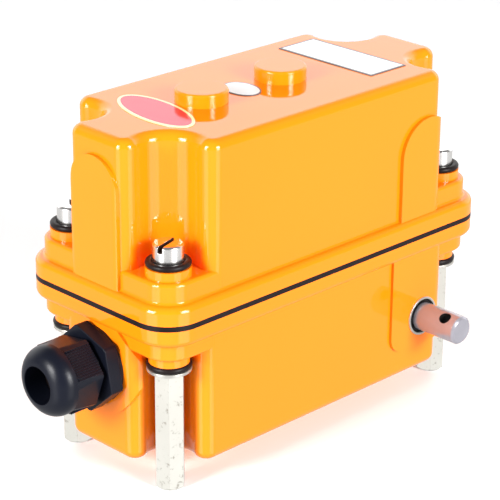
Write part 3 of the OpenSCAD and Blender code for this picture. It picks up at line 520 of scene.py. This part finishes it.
cream_acetal = paint_acetal()
for i in range(1, 5):
    dress(cream_acetal, f"cam_{i}", f"lever_button_{i}")
    dress(black_nylon, f"switch_body_{i}")
    dress(bright_steel, f"switch_lever_{i}")
dress(bright_steel, "lever_pins")
dress(zinc_plate, "cam_set_screws", "switch_rods", "rod_nuts", "switch_spacers")
dress(bronze, "switch_terminals", "earth_screw", "earth_washer")


# Gasket and cover: a black rubber gasket lies on the base's flange, and the cover is cast and
# enamelled as the base is, with arched panels over the gears and two round bosses on top.
dress(black_rubber, "cover_gasket")
enamel_casting("cover")


# Through screws: long bright steel screws with round slotted heads go down through cover and base
# into the pillars, each over a rubber O-ring.
SLOT_DEPTH, SLOT_REACH = 2.2 * MM, 1.0 * MM
feet = next(m for m in frame["record"]["mounts"] if m["name"] == "feet")["dims"]
screw_x, screw_y = feet["spacing_x_mm"] * MM / 2, feet["spacing_y_mm"] * MM / 2


def paint_slot_shade():
    """Painted shade, nearly black and mottled, for the inside of a screw's slot."""
    slot_shade = Finish("painted_slot_shade")
    shade_mottle = slot_shade.noise(900, detail=3)
    return slot_shade.shade(
        Base_Color=slot_shade.mix(shade_mottle, (0.012, 0.010, 0.008), (0.05, 0.035, 0.025)),
        Roughness=shade_mottle * 0.2 + 0.5,
        Specular_IOR_Level=0.2,
    )


def darken_slots(screws):
    """Gives the floors and walls of the screws' slots the painted slot shade."""
    # Painted shade: the slot faces take a near-black material in place of the shade that falls in
    # the slot.
    screws.data.materials.append(paint_slot_shade())
    slot_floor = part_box("cover_screws")[1].z - SLOT_DEPTH
    for face in screws.data.polygons:
        spot, facing = face.center, face.normal
        axis = Vector((math.copysign(screw_x, spot.x), math.copysign(screw_y, spot.y), spot.z))
        floor = facing.z > 0.99 and abs(spot.z - slot_floor) < SLOT_REACH
        wall = abs(facing.z) < 0.01 and abs((spot - axis).dot(facing)) < SLOT_REACH
        face.material_index = int(floor or (wall and spot.z > slot_floor))


darken_slots(ease_edges("cover_screws", bright_steel, "housing", 0.2))
dress(black_rubber, "screw_o_rings")


# Plates on the cover: two oval plates and one long plate, pressed thin and stuck down beside the
# bosses. Their faces are blank; a printed rim runs round each.
PLATE_THICK = 0.25 * MM
cover_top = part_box("cover")[1].z
BOSS_HEIGHT = 4.5 * MM
plate_floor = cover_top - BOSS_HEIGHT
PLATE_ROUNDING = 48


def paint_plate(name, colour, rough):
    """A flat printed film."""
    film = Finish(name)
    tone = film.noise(40, detail=3)
    worn = tuple(0.9 * c for c in colour)
    return film.shade(Base_Color=film.mix(tone, colour, worn), Roughness=tone * 0.1 + rough)


def add_plate(name, shape, at_mm, turn_deg, rim_mm, face, rim):
    """A thin plate from a flat outline round the origin, with a rim of another colour."""
    flat = list(shape.faces)
    bmesh.ops.inset_region(
        shape, faces=flat, thickness=rim_mm * MM, use_boundary=True, use_even_offset=True
    )
    for edging in set(shape.faces) - set(flat):
        edging.material_index = 1
    solid = bmesh.ops.extrude_face_region(shape, geom=list(shape.faces))["geom"]
    raised = [v for v in solid if isinstance(v, bmesh.types.BMVert)]
    bmesh.ops.translate(shape, verts=raised, vec=(0, 0, PLATE_THICK))
    bmesh.ops.recalc_face_normals(shape, faces=shape.faces)
    turn = Matrix.Rotation(math.radians(turn_deg), 3, "Z")
    bmesh.ops.rotate(shape, verts=shape.verts, matrix=turn)
    place = Vector((*at_mm, 0)) * MM
    place.z = plate_floor
    bmesh.ops.translate(shape, verts=shape.verts, vec=place)
    piece = make_piece(name, shape, face, "housing")
    piece.data.materials.append(rim)


def oval(half_x, half_y):
    """A filled ellipse, millimetres."""
    shape = bmesh.new()
    bmesh.ops.create_circle(shape, cap_ends=True, segments=PLATE_ROUNDING, radius=MM)
    bmesh.ops.scale(shape, verts=shape.verts, vec=(half_x, half_y, 1))
    return shape


def rectangle(half_x, half_y):
    """A filled rectangle, millimetres."""
    shape = bmesh.new()
    bmesh.ops.create_grid(shape, x_segments=1, y_segments=1, size=MM)
    bmesh.ops.scale(shape, verts=shape.verts, vec=(half_x, half_y, 1))
    return shape


white_film = paint_plate("white_film", (0.86, 0.86, 0.86), 0.3)
red_film = paint_plate("red_film", (0.60, 0.006, 0.05), 0.06)
cream_rim = paint_plate("cream_rim", (0.95, 0.78, 0.42), 0.1)
dark_rim = paint_plate("dark_rim", (0.10, 0.10, 0.11), 0.3)
add_plate(
    "red_oval_plate",
    oval(8.1, 18.8),
    at_mm=(-45.8, 2.3),
    turn_deg=-8.8,
    rim_mm=1.0,
    face=red_film,
    rim=cream_rim,
)
add_plate(
    "small_oval_plate",
    oval(5.6, 7.8),
    at_mm=(-10.3, -0.4),
    turn_deg=-10,
    rim_mm=0.5,
    face=white_film,
    rim=dark_rim,
)
add_plate(
    "white_plate",
    rectangle(8.7, 21.7),
    at_mm=(39.7, 1.7),
    turn_deg=0,
    rim_mm=0.7,
    face=white_film,
    rim=dark_rim,
)
